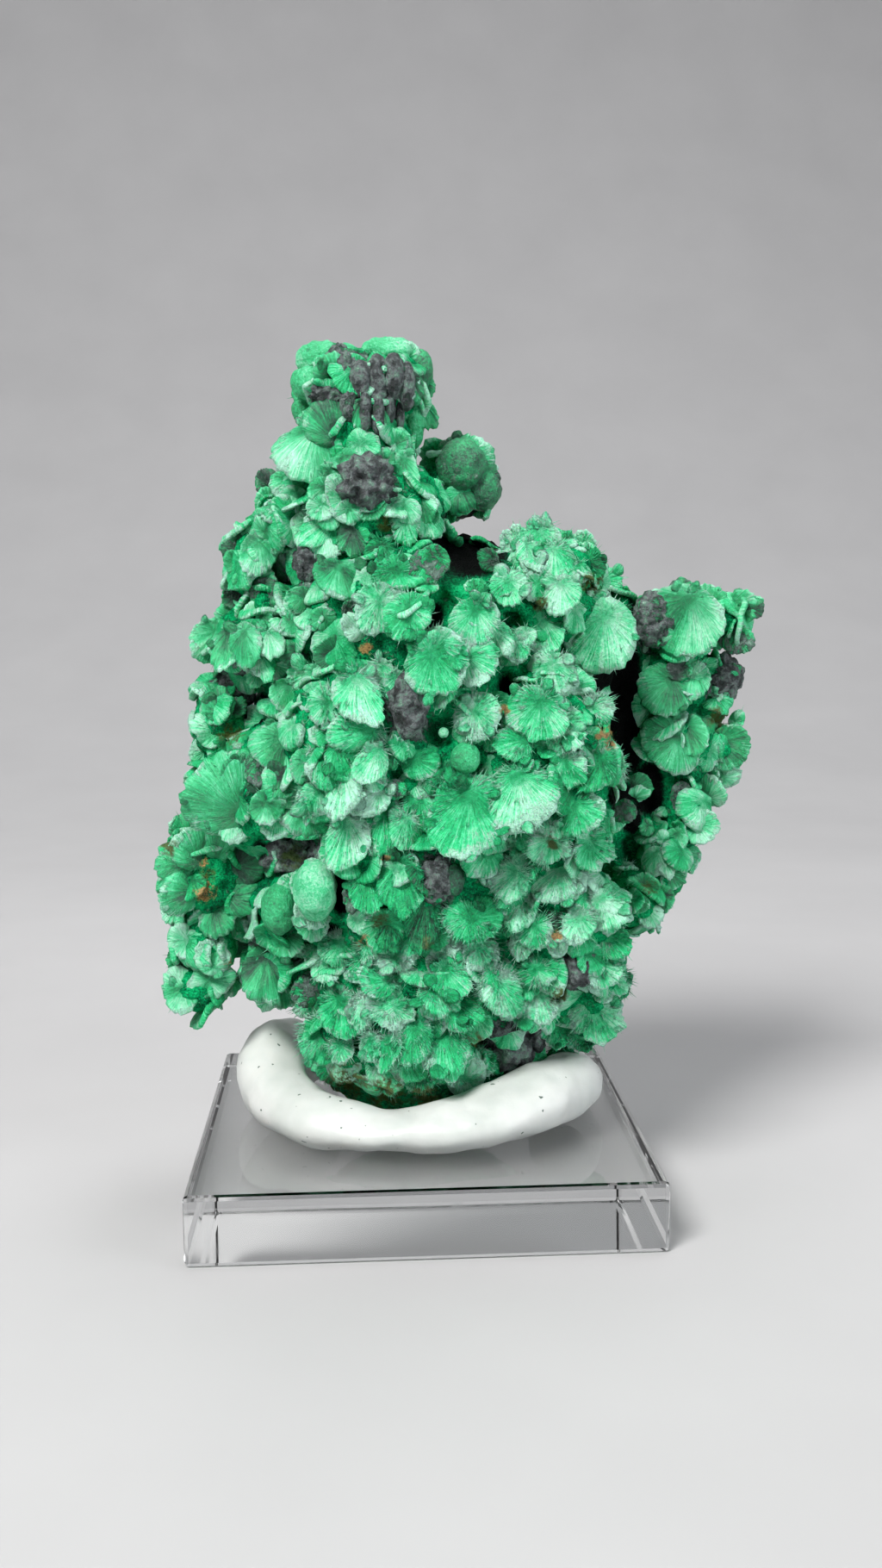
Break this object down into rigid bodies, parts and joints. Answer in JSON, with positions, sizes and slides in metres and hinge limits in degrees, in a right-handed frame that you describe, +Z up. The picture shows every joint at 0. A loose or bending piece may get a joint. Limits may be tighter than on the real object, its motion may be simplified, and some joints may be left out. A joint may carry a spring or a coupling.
{
  "type": "malachite specimen",
  "caption": "Cluster of fibrous malachite fans held upright by a ring of white putty on a clear square acrylic base.",
  "frame": {"origin": "middle of the underside of the acrylic base", "axes": "+Z up, +X to the right seen from the specimen's front, +Y towards its back"},
  "size_m": [0.057, 0.04, 0.0771],
  "materials": {
    "malachite": "satin",
    "putty": "satin",
    "acrylic": "gloss"
  },
  "bodies": {
    "root": {"malachite": "malachite", "mounting_putty": "putty", "acrylic_base": "acrylic"}
  },
  "joints": []
}
